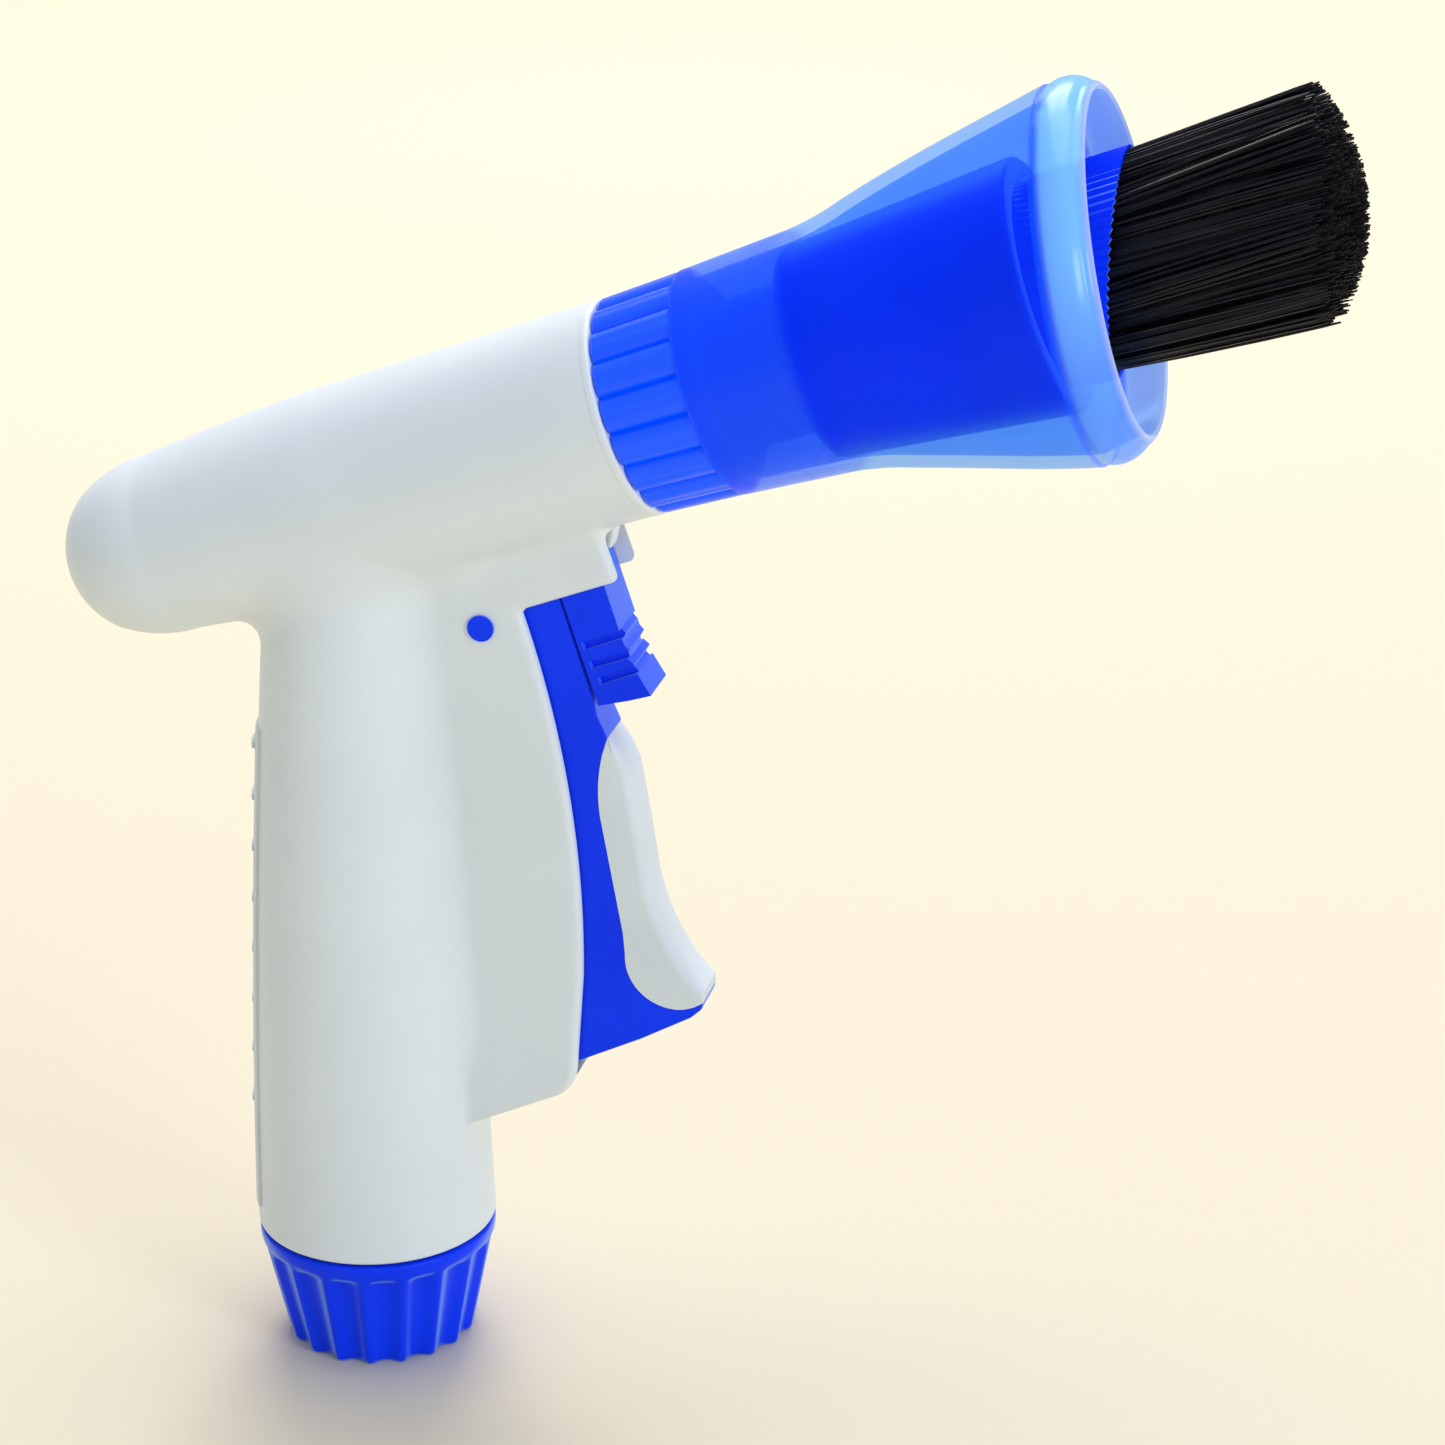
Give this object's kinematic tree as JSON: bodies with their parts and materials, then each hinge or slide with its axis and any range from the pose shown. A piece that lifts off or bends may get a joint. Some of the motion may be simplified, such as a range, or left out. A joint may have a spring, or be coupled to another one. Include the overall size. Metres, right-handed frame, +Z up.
{
  "type": "handheld pet bath sprayer",
  "caption": "Pistol-grip garden-hose sprayer for bathing pets: front trigger with a hold-open slider, and a round brush inside a clear blue funnel.",
  "frame": {"origin": "centre of the hose nut's mouth, where the hose enters", "axes": "+Z up along the handle's axis, away from the hose; +X forward, the way the funnel and brush point; Y = 0 is the plane of symmetry"},
  "size_m": [0.2203, 0.0618, 0.236],
  "materials": {
    "white_plastic": "satin moulded",
    "blue_plastic": "gloss moulded",
    "clear_blue_plastic": "clear tinted",
    "grey_rubber": "soft matt",
    "black_rubber": "matt",
    "bristle": "nylon strands",
    "steel": "drawn wire",
    "brass": "turned"
  },
  "bodies": {
    "handle": {"body_shell": "white_plastic", "rear_grip_strip": "grey_rubber", "inlet_spigot": "white_plastic", "spigot_o_ring": "black_rubber", "hose_washer": "black_rubber", "inlet_filter": "steel", "valve_seat": "brass", "stem_guide": "blue_plastic", "stem_seal": "black_rubber", "valve_plug": "white_plastic", "plug_o_ring": "black_rubber", "valve_spring": "steel", "trigger_pin": "blue_plastic", "neck_gasket": "black_rubber"},
    "hose_nut": {"hose_nut": "blue_plastic"},
    "trigger": {"trigger": "blue_plastic", "trigger_pad": "grey_rubber"},
    "lock_slider": {"lock_slider": "blue_plastic"},
    "valve_stem": {"valve_stem": "brass", "poppet_seal": "black_rubber"},
    "brush_unit": {"funnel_shroud": "clear_blue_plastic", "brush_head": "blue_plastic", "head_o_ring": "black_rubber", "bristle_ferrule": "blue_plastic", "spray_plate": "blue_plastic", "bristle_tufts": "bristle"}
  },
  "joints": [
    {"name": "trigger_hinge", "type": "hinge", "parent": "handle", "child": "trigger", "pos_m": [0.0254, 0, 0.1394], "axis": [0, 1, 0], "range_deg": [0, 10], "stiffness_Nm_per_rad": 1.2, "springref_deg": -6.88},
    {"name": "valve_slide", "type": "slide", "parent": "handle", "child": "valve_stem", "axis": [-1, 0, 0], "range_m": [0, 0.0061], "stiffness_N_per_m": 25, "springref_m": -0.003, "deforming": ["valve_spring"]},
    {"name": "lock_slide", "type": "slide", "parent": "trigger", "child": "lock_slider", "axis": [-0.3069, 0, 0.9517], "range_m": [0, 0.0035]},
    {"name": "nut_swivel", "type": "hinge", "parent": "handle", "child": "hose_nut", "pos_m": [0, 0, 0.0135], "axis": [0, 0, 1], "continuous": true},
    {"name": "shroud_twist", "type": "hinge", "parent": "handle", "child": "brush_unit", "pos_m": [0, 0, 0.1598], "axis": [0.9426, 0, 0.3338], "range_deg": [0, 60]}
  ],
  "couplings": [
    {"joint": "valve_slide", "follows": "trigger_hinge", "m_per_rad": 0.0347}
  ]
}
